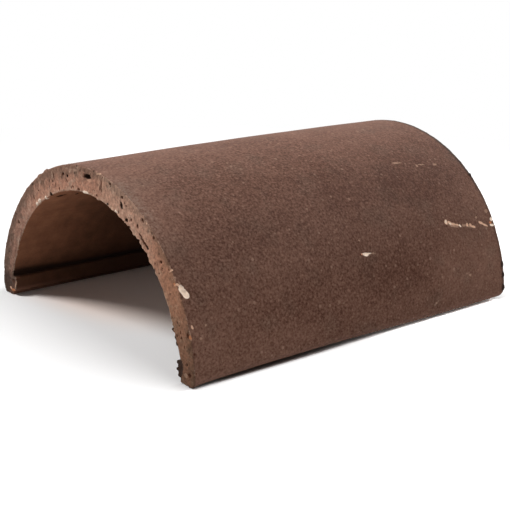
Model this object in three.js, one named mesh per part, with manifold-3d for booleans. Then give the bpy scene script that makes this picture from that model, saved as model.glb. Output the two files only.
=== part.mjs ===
// Half-round clay ridge tile: one length of clay pushed through a die, cut off by wire and fired.
// Millimetres, +Z up. X runs along the ridge, and the origin is on the ground under the tile's middle.
// The die gives the section: a vault that is thickest at its crown, over two feet. Inside each foot
// runs a rounded rib, with a groove above it and a recess below it. Drying has bowed the ridge, twisted
// the piece a little, so that one corner stands off the ground, and drawn up the outside of that foot.
// The wire and later knocks have left a few wounds, and handling has worn the near end's outer edge.
import * as THREE from "three";
import { mergeVertices } from "three/addons/utils/BufferGeometryUtils.js";
import Module from "manifold-3d";

// The section's vault
const OUTER_RADIUS = 125; // of the vault's outer face
const HEIGHT = 121.5; // ground to the top of the crown
const CROWN_WALL = 18.5; // clay over the middle of the vault
const SIDE_WALL = 16; // outer radius less the inner one

// The section's feet
const FOOT_WALL = 16.5; // outer face at the ground to the recess under the rib
const GROOVE_WALL = 16.5; // outer face at the ground to the bottom of the groove over the rib
const RIB_DEPTH = 5; // how far the rib stands in from the recess
const RIB_BOTTOM = 3.8; // ground to the rib
const RIB_HEIGHT = 11.5;
const GROOVE_FADE = 17; // height over the rib at which the groove has run out into the vault
const RIB_ROUND = 2; // rounding of the rib's two edges
const GROOVE_ROUND = 1.5; // rounding of the groove's corner
const OUTER_ARRIS = 5; // rounding of the foot's bottom edge, outside
const INNER_ARRIS = 2; // and inside

// Along the tile
const LENGTH = 305; // one cut end to the other
const END_ARRIS = 0.8; // rounding of the cut ends' edges
const TWIST_LIFT = 2.5; // how far the far corner of the -Y foot stands off the ground
const TWIST_START = 40; // stretch of that foot that lies flat, from the near end
const TWIST_CURVE = 1.5; // power by which the lift grows over the rest
const CROWN_BOW = 1.6; // how far the ridge rises over its two ends, halfway along
const HOLLOW_LIFT = 2.6; // how far the bottom edge of the -Y foot has drawn up, outside
const HOLLOW_FULL = 70; // near end to where it has drawn up that far
const HOLLOW_CURVE = 0.4; // power by which it does so
const HOLLOW_WANE = 100; // near end to where it begins to come down again
const HOLLOW_END = 270; // near end to where it is down
const HOLLOW_HEIGHT = 26; // height over the ground by which it has faded out
const FOOT_LAND = 3.5; // width of that foot's underside, inside, that stays flat
const EDGE_WEAR = 0.6; // what handling adds to END_ARRIS along the near end's outer edge, +Y side
const WEAR_REACH = 45; // how far that wear carries on past the crown
const WEAR_FOOT = 25; // height over the ground by which it has faded out

// Wounds: oval bowls. Each stands at an angle round the vault, in degrees from the +Y side.
const PIT_ANGLE = 90.2; // torn out of the near end by the wire
const PIT_INSET = 7; // skin to its middle
const PIT_LENGTH = 10.5; // around the vault
const PIT_WIDTH = 4.6; // through the wall
const PIT_DEPTH = 5;
const GOUGE_ANGLE = 127.5; // beside the inner edge of the near end
const GOUGE_INSET = 13.6;
const GOUGE_LENGTH = 11.5;
const GOUGE_WIDTH = 2.6;
const GOUGE_DEPTH = 2.8;
const CHIP_ANGLE = 149.2; // knocked out of the skin near the near end
const CHIP_PLACE = 4; // near end to its middle
const CHIP_LENGTH = 9.5; // around the vault
const CHIP_WIDTH = 5; // along the tile
const CHIP_DEPTH = 1.2;
const POCK_ANGLE = 150.5; // knocked out of the skin halfway along
const POCK_PLACE = 164.8;
const POCK_LENGTH = 8; // along the tile
const POCK_WIDTH = 4; // around the vault
const POCK_DEPTH = 1.5;

// Fineness of the facets
const CHORD_ERROR = 0.06; // how far a facet may cut inside a round stretch
const LENGTHWISE_STEPS = 24;
const STEP_CROWDING = 1.5; // 1 for even steps, more to crowd them towards the near end
const ARRIS_STEPS = 3;
const BOWL_DETAIL = 3; // subdivisions of a wound's surface

// Points along an arc, both ends included, with no facet further from it than CHORD_ERROR.
// Angles run from the across axis towards the up axis.
function arc(across, up, radius, from, to) {
  const facet = 2 * Math.acos(1 - CHORD_ERROR / radius);
  const count = Math.max(2, Math.ceil(Math.abs(to - from) / facet));
  return Array.from({ length: count + 1 }, (_, i) => {
    const angle = from + ((to - from) * i) / count;
    return new THREE.Vector2(across + radius * Math.cos(angle), up + radius * Math.sin(angle));
  });
}

// Heights and reaches that the driving dimensions give. A reach is measured from the middle plane.
const outerCentre = HEIGHT - OUTER_RADIUS;
const innerRadius = OUTER_RADIUS - SIDE_WALL;
const innerCentre = HEIGHT - CROWN_WALL - innerRadius;
const groundReach = Math.sqrt(OUTER_RADIUS ** 2 - outerCentre ** 2);
const recessReach = groundReach - FOOT_WALL;
const grooveReach = groundReach - GROOVE_WALL;
const ribReach = recessReach - RIB_DEPTH;
const ribTop = RIB_BOTTOM + RIB_HEIGHT;
const landReach = recessReach + INNER_ARRIS + FOOT_LAND;

// Outer face from the crown down to the ground, with the foot's rounded bottom edge.
function outerFace() {
  const arrisReach = Math.sqrt((OUTER_RADIUS - OUTER_ARRIS) ** 2 - (OUTER_ARRIS - outerCentre) ** 2);
  const tangent = Math.atan2(OUTER_ARRIS - outerCentre, arrisReach);
  return [
    ...arc(0, outerCentre, OUTER_RADIUS, Math.PI / 2, tangent),
    ...arc(arrisReach, OUTER_ARRIS, OUTER_ARRIS, tangent, -Math.PI / 2).slice(1),
  ];
}

// Inside of a foot from the ground up: land, bottom edge, recess, rib and groove.
function footInside() {
  const ribCentre = ribReach + RIB_ROUND;
  return [
    new THREE.Vector2(landReach, 0),
    ...arc(recessReach + INNER_ARRIS, INNER_ARRIS, INNER_ARRIS, -Math.PI / 2, -Math.PI),
    new THREE.Vector2(recessReach, RIB_BOTTOM),
    ...arc(ribCentre, RIB_BOTTOM + RIB_ROUND, RIB_ROUND, -Math.PI / 2, -Math.PI),
    ...arc(ribCentre, ribTop - RIB_ROUND, RIB_ROUND, Math.PI, Math.PI / 2),
    ...arc(grooveReach - GROOVE_ROUND, ribTop + GROOVE_ROUND, GROOVE_ROUND, -Math.PI / 2, 0),
  ];
}

// Inner face of the vault, from where the groove runs out up to the crown.
function innerFace() {
  const start = Math.asin((ribTop + GROOVE_FADE - innerCentre) / innerRadius);
  return arc(0, innerCentre, innerRadius, start, Math.PI / 2);
}

// The die's opening, across and up: one half, and its mirror image on the other side.
function dieSection() {
  const half = [...outerFace(), ...footInside(), ...innerFace()];
  const mirrored = half.slice(1, -1).reverse().map((p) => new THREE.Vector2(-p.x, p.y));
  return new THREE.Shape([...half, ...mirrored]);
}

// The drawn length between two cut ends with rounded edges. The section lies across Y and up Z, and the
// steps are closest where the -Y foot bends most.
function cutLength() {
  const geometry = new THREE.ExtrudeGeometry(dieSection(), {
    depth: LENGTH - 2 * END_ARRIS,
    steps: LENGTHWISE_STEPS,
    bevelThickness: END_ARRIS,
    bevelSize: END_ARRIS,
    bevelOffset: -END_ARRIS,
    bevelSegments: ARRIS_STEPS,
  });
  const places = geometry.getAttribute("position");
  const straight = LENGTH - 2 * END_ARRIS;
  for (let i = 0; i < places.count; i++) {
    const share = places.getZ(i) / straight;
    if (share > 0 && share < 1) places.setZ(i, straight * share ** STEP_CROWDING);
  }
  geometry.translate(0, 0, END_ARRIS - LENGTH / 2);
  return geometry.applyMatrix4(
    new THREE.Matrix4().makeBasis(
      new THREE.Vector3(0, 1, 0),
      new THREE.Vector3(0, 0, 1),
      new THREE.Vector3(1, 0, 0),
    ),
  );
}

// The near end's outer edge, worn rounder. The bevel's vertices there move further from the edge, in
// depth and towards the middle of the vault alike.
function wear(geometry) {
  const places = geometry.getAttribute("position");
  for (let i = 0; i < places.count; i++) {
    const depth = places.getX(i) + LENGTH / 2;
    const across = places.getY(i);
    const up = places.getZ(i) - outerCentre;
    const inset = OUTER_RADIUS - Math.hypot(across, up);
    if (depth > END_ARRIS || inset > END_ARRIS * 1.05) continue;
    const side = THREE.MathUtils.smoothstep(across, -WEAR_REACH, 0);
    const height = THREE.MathUtils.smoothstep(places.getZ(i), OUTER_ARRIS, WEAR_FOOT);
    const growth = 1 + (EDGE_WEAR / END_ARRIS) * side * height;
    const shrink = (OUTER_RADIUS - inset * growth) / (OUTER_RADIUS - inset);
    places.setXYZ(i, depth * growth - LENGTH / 2, across * shrink, outerCentre + up * shrink);
  }
  return geometry;
}

// A geometry as a solid that can be cut.
const wasm = await Module();
wasm.setup();
function toSolid(geometry) {
  const bare = geometry.clone();
  bare.deleteAttribute("normal");
  bare.deleteAttribute("uv");
  const merged = mergeVertices(bare);
  return new wasm.Manifold(
    new wasm.Mesh({
      numProp: 3,
      vertProperties: merged.getAttribute("position").array,
      triVerts: merged.getIndex().array,
    }),
  );
}

function toGeometry(solid) {
  const mesh = solid.getMesh();
  const geometry = new THREE.BufferGeometry();
  geometry.setAttribute("position", new THREE.BufferAttribute(mesh.vertProperties, 3));
  geometry.setIndex(new THREE.BufferAttribute(mesh.triVerts, 1));
  return geometry;
}

// An oval cutter. Its size is along the tile, around the vault and out from it. Its middle is given by
// the distance from the near end, the angle round the vault and the distance in from the skin.
function bowl(size, fromNearEnd, degrees, inset) {
  const angle = THREE.MathUtils.degToRad(degrees);
  const outward = new THREE.Vector3(0, Math.cos(angle), Math.sin(angle));
  const around = new THREE.Vector3(0, Math.sin(angle), -Math.cos(angle));
  const middle = outward.clone().multiplyScalar(OUTER_RADIUS - inset);
  middle.x = fromNearEnd - LENGTH / 2;
  middle.z += outerCentre;
  const set = new THREE.Matrix4().makeBasis(new THREE.Vector3(1, 0, 0), around, outward).setPosition(middle);
  const oval = new THREE.IcosahedronGeometry(0.5, BOWL_DETAIL).scale(size.x, size.y, size.z);
  return toSolid(oval.applyMatrix4(set));
}

// The tile with its wounds. A bowl reaches as far into the clay as its wound is deep.
function wound(tile) {
  const bowls = [
    bowl(new THREE.Vector3(2 * PIT_DEPTH, PIT_LENGTH, PIT_WIDTH), 0, PIT_ANGLE, PIT_INSET),
    bowl(new THREE.Vector3(2 * GOUGE_DEPTH, GOUGE_LENGTH, GOUGE_WIDTH), 0, GOUGE_ANGLE, GOUGE_INSET),
    bowl(new THREE.Vector3(CHIP_WIDTH, CHIP_LENGTH, 2 * CHIP_DEPTH), CHIP_PLACE, CHIP_ANGLE, 0),
    bowl(new THREE.Vector3(POCK_LENGTH, POCK_WIDTH, 2 * POCK_DEPTH), POCK_PLACE, POCK_ANGLE, 0),
  ];
  return toGeometry(bowls.reduce((left, cut) => left.subtract(cut), toSolid(tile)));
}

// How far drying has lifted the clay at a place along and across the tile: nothing over the +Y foot,
// and most over the -Y foot's far end.
function twistLift(x, y) {
  const along = (x + LENGTH / 2 - TWIST_START) / (LENGTH - TWIST_START);
  const across = (ribReach - y) / (2 * ribReach);
  return (
    TWIST_LIFT * THREE.MathUtils.clamp(along, 0, 1) ** TWIST_CURVE * THREE.MathUtils.clamp(across, 0, 1)
  );
}

// How far the ridge has bowed up at a place: nothing at the two ends and on the ground.
function bowLift(x, z) {
  return CROWN_BOW * (1 - (x / (LENGTH / 2)) ** 2) * (z / HEIGHT);
}

// How far the bottom of the -Y foot has drawn up at a place: all of it at the outside, nothing on the
// land inside, and less and less up the foot.
function hollowLift(x, y, z) {
  const fromNear = x + LENGTH / 2;
  const rise = THREE.MathUtils.clamp(fromNear / HOLLOW_FULL, 0, 1) ** HOLLOW_CURVE;
  const wane = THREE.MathUtils.smoothstep(fromNear, HOLLOW_WANE, HOLLOW_END);
  const outside = THREE.MathUtils.smoothstep(-y, landReach, groundReach - OUTER_ARRIS);
  const fade = THREE.MathUtils.smoothstep(z, 0, HOLLOW_HEIGHT);
  return HOLLOW_LIFT * rise * (1 - wane) * outside * (1 - fade);
}

// Moves every vertex by the twist, the bow and the hollow, which keep the ends flat and upright.
function dry(geometry) {
  const places = geometry.getAttribute("position");
  for (let i = 0; i < places.count; i++) {
    const [x, y, z] = [places.getX(i), places.getY(i), places.getZ(i)];
    places.setZ(i, z + twistLift(x, y) + bowLift(x, z) + hollowLift(x, y, z));
  }
  geometry.computeVertexNormals();
  return geometry;
}

const firedClay = new THREE.MeshStandardMaterial({ color: 0x6b4f42, roughness: 0.95, metalness: 0 });

const ridgeTile = new THREE.Mesh(dry(wound(wear(cutLength()))), firedClay);
ridgeTile.name = "ridge_tile";

const group = new THREE.Group();
group.add(ridgeTile);

export default group;
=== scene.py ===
"""Dresses the half-round clay ridge tile.

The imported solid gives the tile's place and size. This script stands one dense, closed mesh in for it:
the same section pushed through the same die, with the torn and pitted faces that the cutting wire
left, worn edges, the marks of handling where pale clay shows, and the finish of the fired clay.
Sizes are in metres. Marks, zones and patterns are in millimetres, as a ruler laid on the tile would
read. +X runs along the tile from its near end, and +Z is up through the crown.
"""

import logging
import math
from dataclasses import dataclass, field
from enum import Enum

import bpy
import numpy as np
from mathutils import Matrix, Vector


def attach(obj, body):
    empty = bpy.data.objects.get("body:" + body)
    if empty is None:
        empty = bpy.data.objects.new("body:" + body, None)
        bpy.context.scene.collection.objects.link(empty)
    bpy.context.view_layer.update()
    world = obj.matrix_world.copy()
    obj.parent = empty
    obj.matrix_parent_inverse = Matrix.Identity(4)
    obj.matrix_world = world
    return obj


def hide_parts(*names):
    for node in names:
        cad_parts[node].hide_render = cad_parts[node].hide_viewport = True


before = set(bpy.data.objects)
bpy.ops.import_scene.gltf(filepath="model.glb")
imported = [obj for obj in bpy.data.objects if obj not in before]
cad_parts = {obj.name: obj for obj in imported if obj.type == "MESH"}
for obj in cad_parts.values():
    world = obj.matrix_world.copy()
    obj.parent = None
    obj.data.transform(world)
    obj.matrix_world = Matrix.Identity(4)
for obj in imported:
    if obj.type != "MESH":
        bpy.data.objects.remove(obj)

LOG = logging.getLogger("ridge_tile")
NODE = "ridge_tile"
MM = 0.001
QUARTER = math.pi / 2

Pair = tuple[float, float]
Triple = tuple[float, float, float]
Colour = tuple[float, float, float, float]

WHITE: Colour = (1.0, 1.0, 1.0, 1.0)


def srgb(red: int, green: int, blue: int) -> Colour:
    """Turns a screen colour into a linear one.

    Args:
        red: the red part, 0 to 255.
        green: the green part, 0 to 255.
        blue: the blue part, 0 to 255.

    Returns:
        The colour that Blender's sockets take, opaque.
    """
    parts = [value / 255.0 for value in (red, green, blue)]
    linear = [p / 12.92 if p <= 0.04045 else ((p + 0.055) / 1.055) ** 2.4 for p in parts]
    return (*linear, 1.0)


def put(name: str, data: bpy.types.ID) -> bpy.types.Object:
    """Puts a mesh, a lamp or a camera into the scene.

    Args:
        name: the name of its object.
        data: what it is.

    Returns:
        Its object.
    """
    thing = bpy.data.objects.new(name, data)
    bpy.context.scene.collection.objects.link(thing)
    return thing


# ---------------------------------------------------------------------------------------------
# Node trees
# ---------------------------------------------------------------------------------------------


class Sock:
    """A value on its way through a node tree. Arithmetic on a number adds Math nodes."""

    def __init__(self, graph: "Graph", socket: bpy.types.NodeSocket) -> None:
        """Wraps one output socket of the graph."""
        self.graph = graph
        self.socket = socket

    def math(self, operation: str, *others: "Sock | float") -> "Sock":
        """Adds one Math node with this value as its first operand.

        Args:
            operation: Blender's name of the operation.
            others: the further operands.

        Returns:
            The result.
        """
        operands = dict(enumerate([self, *others]))
        return self.graph.node("ShaderNodeMath", {"operation": operation}, operands)

    def __add__(self, other: "Sock | float") -> "Sock":
        """self + other."""
        return self.math("ADD", other)

    __radd__ = __add__

    def __sub__(self, other: "Sock | float") -> "Sock":
        """self - other."""
        return self.math("SUBTRACT", other)

    def __rsub__(self, other: float) -> "Sock":
        """other - self."""
        return self.math("MULTIPLY_ADD", -1.0, other)

    def __mul__(self, other: "Sock | float") -> "Sock":
        """self * other."""
        return self.math("MULTIPLY", other)

    __rmul__ = __mul__

    def __truediv__(self, other: "Sock | float") -> "Sock":
        """self / other."""
        return self.math("DIVIDE", other)

    def __rtruediv__(self, other: float) -> "Sock":
        """other / self."""
        return self.math("POWER", -1.0) * other

    def __pow__(self, other: float) -> "Sock":
        """self to a power."""
        return self.math("POWER", other)

    def __lt__(self, other: "Sock | float") -> "Sock":
        """1 where self is the smaller, otherwise 0."""
        return self.math("LESS_THAN", other)

    def __gt__(self, other: "Sock | float") -> "Sock":
        """1 where self is the larger, otherwise 0."""
        return self.math("GREATER_THAN", other)

    def most(self, other: "Sock | float") -> "Sock":
        """The larger of two values."""
        return self.math("MAXIMUM", other)

    def least(self, other: "Sock | float") -> "Sock":
        """The smaller of two values."""
        return self.math("MINIMUM", other)

    def unsigned(self) -> "Sock":
        """self without its sign."""
        return self.math("ABSOLUTE")

    def share(self) -> "Sock":
        """self held between 0 and 1."""
        return self.most(0.0).least(1.0)

    def step(self, low: float, high: float) -> "Sock":
        """A soft step.

        Args:
            low: where it is still 0.
            high: where it has reached 1; smaller than low for a step down.

        Returns:
            The height of the step.
        """
        start, end = (0.0, 1.0) if low < high else (1.0, 0.0)
        return self.graph.node("ShaderNodeMapRange", {"interpolation_type": "SMOOTHSTEP"}, {
            "Value": self, "From Min": min(low, high), "From Max": max(low, high),
            "To Min": start, "To Max": end,
        })

    def fade(self, low: float, high: float) -> "Sock":
        """A soft step whose two limits are in millimetres."""
        return self.step(low * MM, high * MM)


class Graph:
    """A node tree that is being built, for a material, for the surround or for Geometry Nodes."""

    def __init__(self, tree: bpy.types.NodeTree) -> None:
        """Takes the tree and empties it."""
        self.tree = tree
        tree.nodes.clear()

    @classmethod
    def of(cls, owner: bpy.types.Material | bpy.types.World) -> "Graph":
        """The emptied tree of a material or of the surround."""
        owner.use_nodes = True
        return cls(owner.node_tree)

    def add(self, kind: str, settings: dict | None = None, inputs: dict | None = None) -> bpy.types.Node:
        """Adds one node.

        Args:
            kind: its type.
            settings: its own properties, which are set before its sockets.
            inputs: values or links, by the socket's name or number.

        Returns:
            The node.
        """
        node = self.tree.nodes.new(kind)
        for name, value in (settings or {}).items():
            setattr(node, name, value)
        for key, value in (inputs or {}).items():
            socket = node.inputs[key] if isinstance(key, int) else self._named(node.inputs, key)
            if isinstance(value, Sock):
                self.tree.links.new(value.socket, socket)
            else:
                socket.default_value = value
        return node

    def node(
        self, kind: str, settings: dict | None = None, inputs: dict | None = None, output: str | None = None
    ) -> Sock:
        """Adds one node and gives one of its outputs: the named one, or the first in use."""
        outputs = self.add(kind, settings, inputs).outputs
        return Sock(self, self._named(outputs, output) if output else next(s for s in outputs if s.enabled))

    @staticmethod
    def _named(sockets: bpy.types.bpy_prop_collection, name: str) -> bpy.types.NodeSocket:
        """The socket of that name that the node's settings have switched on."""
        return next(s for s in sockets if s.name == name and s.enabled)

    def vector(self, operation: str, *operands: "Sock | Triple") -> Sock:
        """Adds one Vector Math node.

        Args:
            operation: Blender's name of the operation.
            operands: its vectors.

        Returns:
            The result, a vector or a number.
        """
        return self.node("ShaderNodeVectorMath", {"operation": operation}, dict(enumerate(operands)))

    def scaled(self, vector: "Sock | Triple", times: "Sock | float") -> Sock:
        """A vector, or a colour, times a number."""
        return self.node("ShaderNodeVectorMath", {"operation": "SCALE"}, {0: vector, "Scale": times})

    def parts(self, vector: Sock) -> list[Sock]:
        """The three numbers of a vector."""
        node = self.add("ShaderNodeSeparateXYZ", None, {0: vector})
        return [Sock(self, socket) for socket in node.outputs]

    def join(self, x: "Sock | float", y: "Sock | float", z: "Sock | float") -> Sock:
        """A vector of three numbers."""
        return self.node("ShaderNodeCombineXYZ", None, {0: x, 1: y, 2: z})

    def mix(self, factor: "Sock | float", low: "Sock | Colour", high: "Sock | Colour") -> Sock:
        """Mixes two colours: the first where the factor is 0, the second where it is 1."""
        inputs = {"Factor": factor, "A": low, "B": high}
        return self.node("ShaderNodeMix", {"data_type": "RGBA"}, inputs)

    def tint(self, factor: "Sock | float", colour: Sock, times: Triple) -> Sock:
        """Multiplies the parts of a colour, fully where the factor is 1."""
        return self.mix(factor, colour, self.vector("MULTIPLY", colour, times))

    def noise(self, place: Sock, size: float, seed: int, detail: float = 2.0, roughness: float = 0.5) -> Sock:
        """Adds a noise.

        Args:
            place: where it is read.
            size: the size of its features, in millimetres.
            seed: which noise it is.
            detail: how many finer layers it has.
            roughness: how strong each finer layer is.

        Returns:
            A number about 0, at most half above or below it and mostly much nearer.
        """
        inputs = {
            "Vector": place, "W": seed, "Scale": 1.0 / (size * MM), "Detail": detail, "Roughness": roughness,
        }
        return self.node("ShaderNodeTexNoise", {"noise_dimensions": "4D"}, inputs) - 0.5

    def cells(self, place: Sock, size: float) -> tuple[Sock, list[Sock]]:
        """Divides a pattern into cells.

        Args:
            place: where it is read.
            size: the size of a cell, in millimetres.

        Returns:
            The distance from the middle of the cell, in cells, and three random numbers of its own.
        """
        node = self.add("ShaderNodeTexVoronoi", None, {"Vector": place, "Scale": 1.0 / (size * MM)})
        return Sock(self, node.outputs["Distance"]), self.parts(Sock(self, node.outputs["Color"]))

    def drawn_out(self, place: Sock, times: Triple) -> Sock:
        """A place to read a pattern at, so that it comes out longer by that many times along each axis."""
        return self.vector("DIVIDE", place, times)

    def seen(self) -> Sock:
        """Tells apart what looks straight at the surface.

        Returns:
            1 for the camera, a gloss and glass, and 0 for all light that falls on other things.
        """
        path = self.add("ShaderNodeLightPath")
        names = ("Is Camera Ray", "Is Glossy Ray", "Is Transmission Ray")
        camera, gloss, glass = (Sock(self, path.outputs[name]) for name in names)
        return camera.most(gloss).most(glass)


class ShapeTree:
    """A Geometry Nodes tree that reshapes a mesh, with named inputs."""

    def __init__(self, name: str, inputs: dict[str, float | int]) -> None:
        """Starts the tree.

        Args:
            name: the tree's name.
            inputs: the names of its inputs, with their values; a whole number makes a whole-number input.
        """
        tree = bpy.data.node_groups.new(name, "GeometryNodeTree")
        self.graph = Graph(tree)
        self.inputs = inputs
        tree.interface.new_socket("Geometry", in_out="OUTPUT", socket_type="NodeSocketGeometry")
        tree.interface.new_socket("Geometry", in_out="INPUT", socket_type="NodeSocketGeometry")
        for label, value in inputs.items():
            kind = "NodeSocketInt" if isinstance(value, int) else "NodeSocketFloat"
            tree.interface.new_socket(label, in_out="INPUT", socket_type=kind)
        self.entry = self.graph.add("NodeGroupInput")

    def __getitem__(self, name: str) -> Sock:
        """One of the tree's inputs."""
        return Sock(self.graph, self.entry.outputs[name])

    def read(self, name: str) -> Sock:
        """A number that the mesh carries at each point."""
        return self.graph.node("GeometryNodeInputNamedAttribute", {"data_type": "FLOAT"}, {"Name": name})

    def store(self, geometry: Sock, name: str, value: Sock) -> Sock:
        """Gives each point of the mesh a number to carry."""
        inputs = {"Geometry": geometry, "Name": name, "Value": value}
        return self.graph.node("GeometryNodeStoreNamedAttribute", {"data_type": "FLOAT"}, inputs)

    def sample(self, geometry: Sock, index: Sock, value: Sock, kind: str = "FLOAT_VECTOR") -> Sock:
        """Reads a value at one point of another mesh."""
        inputs = {"Geometry": geometry, "Value": value, "Index": index}
        return self.graph.node("GeometryNodeSampleIndex", {"data_type": kind}, inputs)

    def place(self, geometry: Sock, **inputs: Sock) -> Sock:
        """Moves the points: Position puts them somewhere, Offset shifts them."""
        return self.graph.node("GeometryNodeSetPosition", None, {"Geometry": geometry, **inputs})

    def run(self, result: Sock, source: bpy.types.Mesh, material: bpy.types.Material) -> bpy.types.Mesh:
        """Closes the tree, runs it on a mesh and gives the plain mesh that comes out.

        Args:
            result: the reshaped geometry.
            source: the mesh that goes in.
            material: what the result is made of.

        Returns:
            A mesh with no modifier behind it.
        """
        real = self.graph.node("GeometryNodeRealizeInstances", None, {"Geometry": result})
        dressed = self.graph.node("GeometryNodeSetMaterial", None, {"Geometry": real, "Material": material})
        self.graph.add("NodeGroupOutput", None, {"Geometry": dressed})
        carrier = put("carrier", source)
        modifier = carrier.modifiers.new("shape", "NODES")
        modifier.node_group = self.graph.tree
        for item in self.graph.tree.interface.items_tree:
            if item.name in self.inputs:
                modifier[item.identifier] = self.inputs[item.name]
        bpy.context.view_layer.update()
        depsgraph = bpy.context.evaluated_depsgraph_get()
        mesh = bpy.data.meshes.new_from_object(
            carrier.evaluated_get(depsgraph), preserve_all_data_layers=True, depsgraph=depsgraph
        )
        carrier.modifiers.remove(modifier)
        bpy.data.objects.remove(carrier)
        return mesh


@dataclass(frozen=True)
class Zone:
    """A part of the tile, or of the floor, with soft borders.

    Along each axis it has two limits, where it begins and where it is full, or four in rising order:
    where it begins, is full, is full no longer and has ended. An axis without limits doesn't bound it.
    """

    strength: float = 1.0
    x: tuple[float, ...] = ()
    y: tuple[float, ...] = ()
    z: tuple[float, ...] = ()

    def felt(self, *axes: Sock) -> Sock:
        """How strongly it is felt at each place.

        Args:
            axes: the place's X, Y and, on the tile, Z.

        Returns:
            Its strength inside, and 0 outside.
        """
        inside: Sock | float = self.strength
        for axis, limits in zip(axes, (self.x, self.y, self.z)):
            for low, high in zip(limits[::3], limits[1:3]):
                inside = axis.fade(low, high) * inside
        return inside


# ---------------------------------------------------------------------------------------------
# The section
# ---------------------------------------------------------------------------------------------


@dataclass(frozen=True)
class Die:
    """The die that gives the tile its section, a vault on two feet, and the length it is cut to."""

    length: float = 305.0 * MM
    outer_radius: float = 125.0 * MM
    height: float = 121.5 * MM
    crown_wall: float = 18.5 * MM
    side_wall: float = 16.0 * MM
    foot_wall: float = 16.5 * MM
    groove_wall: float = 16.5 * MM
    rib_depth: float = 5.0 * MM
    rib_bottom: float = 3.8 * MM
    rib_height: float = 11.5 * MM
    groove_fade: float = 17.0 * MM
    rib_round: float = 2.0 * MM
    groove_round: float = 1.5 * MM
    outer_arris: float = 5.0 * MM
    inner_arris: float = 2.0 * MM
    line_step: float = 0.05 * MM  # fineness of the drawn line
    joint_angle: float = 0.001  # of the short arc that starts the bore's line above the groove
    foot_points: int = 48  # along each foot, from the ground to the top of the groove
    vault_points: int = 182  # from there to the crown

    @property
    def half(self) -> float:
        """Half the length."""
        return self.length / 2

    @property
    def outer_centre(self) -> float:
        """Height of the middle of the outer arc."""
        return self.height - self.outer_radius

    @property
    def inner_radius(self) -> float:
        """Radius of the bore."""
        return self.outer_radius - self.side_wall

    @property
    def inner_centre(self) -> float:
        """Height of the middle of the bore's arc."""
        return self.height - self.crown_wall - self.inner_radius

    @property
    def ground_reach(self) -> float:
        """From the middle to the outer face, on the ground."""
        return math.sqrt(self.outer_radius**2 - self.outer_centre**2)

    @property
    def recess_reach(self) -> float:
        """From the middle to the recess under the rib."""
        return self.ground_reach - self.foot_wall

    @property
    def rib_reach(self) -> float:
        """From the middle to the rib."""
        return self.recess_reach - self.rib_depth

    @property
    def rib_top(self) -> float:
        """From the ground to the top of the rib."""
        return self.rib_bottom + self.rib_height

    @property
    def foot_top(self) -> float:
        """From the ground to where the groove has run out into the vault."""
        return self.rib_top + self.groove_fade

    @property
    def points(self) -> int:
        """How many points each line has, from foot to foot."""
        return 2 * (self.foot_points + self.vault_points) + 1

    def _arc(self, across: float, up: float, radius: float, start: float, end: float) -> np.ndarray:
        """Points along an arc, both ends included.

        Args:
            across: the middle's distance from the middle plane.
            up: the middle's height.
            radius: the radius.
            start: the first angle, from the across direction towards up.
            end: the last angle.

        Returns:
            Rows of across and up.
        """
        count = max(2, math.ceil(abs(end - start) * radius / self.line_step))
        angles = np.linspace(start, end, count + 1)
        return np.stack([across + radius * np.cos(angles), up + radius * np.sin(angles)], axis=1)

    @staticmethod
    def _even(line: np.ndarray, count: int) -> np.ndarray:
        """Spreads the points of a line evenly.

        Args:
            line: rows of across and up.
            count: how many steps the result has.

        Returns:
            The same line in other rows.
        """
        along = np.concatenate([[0.0], np.cumsum(np.hypot(*np.diff(line, axis=0).T))])
        wanted = np.linspace(0.0, along[-1], count + 1)
        return np.stack([np.interp(wanted, along, line[:, i]) for i in (0, 1)], axis=1)

    def _whole(self, foot: np.ndarray, vault: np.ndarray) -> np.ndarray:
        """A line from foot to foot, from the two parts of its +Y half, which is mirrored."""
        half = np.concatenate([self._even(foot, self.foot_points)[:-1], self._even(vault, self.vault_points)])
        return np.concatenate([half, half[-2::-1] * np.array([-1.0, 1.0])])

    def outer_line(self) -> np.ndarray:
        """Draws the outer face.

        Returns:
            Rows of across and up, from where it leaves the ground on the +Y side, over the crown.
        """
        drop = self.outer_arris - self.outer_centre
        arris_reach = math.sqrt((self.outer_radius - self.outer_arris) ** 2 - drop**2)
        tangent = math.atan2(drop, arris_reach)
        top = math.asin((self.foot_top - self.outer_centre) / self.outer_radius)
        foot = np.concatenate([
            self._arc(arris_reach, self.outer_arris, self.outer_arris, -QUARTER, tangent),
            self._arc(0.0, self.outer_centre, self.outer_radius, tangent, top),
        ])
        return self._whole(foot, self._arc(0.0, self.outer_centre, self.outer_radius, top, QUARTER))

    def inner_line(self) -> np.ndarray:
        """Draws the inner face: recess, rib, groove and bore.

        Returns:
            Rows of across and up, from the ground on the +Y side, over the crown.
        """
        recess_mid = self.recess_reach + self.inner_arris
        rib_mid = self.rib_reach + self.rib_round
        groove_mid = self.ground_reach - self.groove_wall - self.groove_round
        top = math.asin((self.foot_top - self.inner_centre) / self.inner_radius)
        foot = np.concatenate([
            self._arc(recess_mid, self.inner_arris, self.inner_arris, -QUARTER, -2 * QUARTER),
            [[self.recess_reach, self.rib_bottom]],
            self._arc(rib_mid, self.rib_bottom + self.rib_round, self.rib_round, -QUARTER, -2 * QUARTER),
            self._arc(rib_mid, self.rib_top - self.rib_round, self.rib_round, 2 * QUARTER, QUARTER),
            self._arc(groove_mid, self.rib_top + self.groove_round, self.groove_round, -QUARTER, 0.0),
            self._arc(0.0, self.inner_centre, self.inner_radius, top, top + self.joint_angle),
        ])
        return self._whole(foot, self._arc(0.0, self.inner_centre, self.inner_radius, top, QUARTER))


# ---------------------------------------------------------------------------------------------
# Marks
# ---------------------------------------------------------------------------------------------


class Side(Enum):
    """The faces of the tile that a mark can lie on."""

    NEAR_END = "near end"
    FAR_END = "far end"
    SKIN = "skin"
    BORE = "bore"


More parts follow.
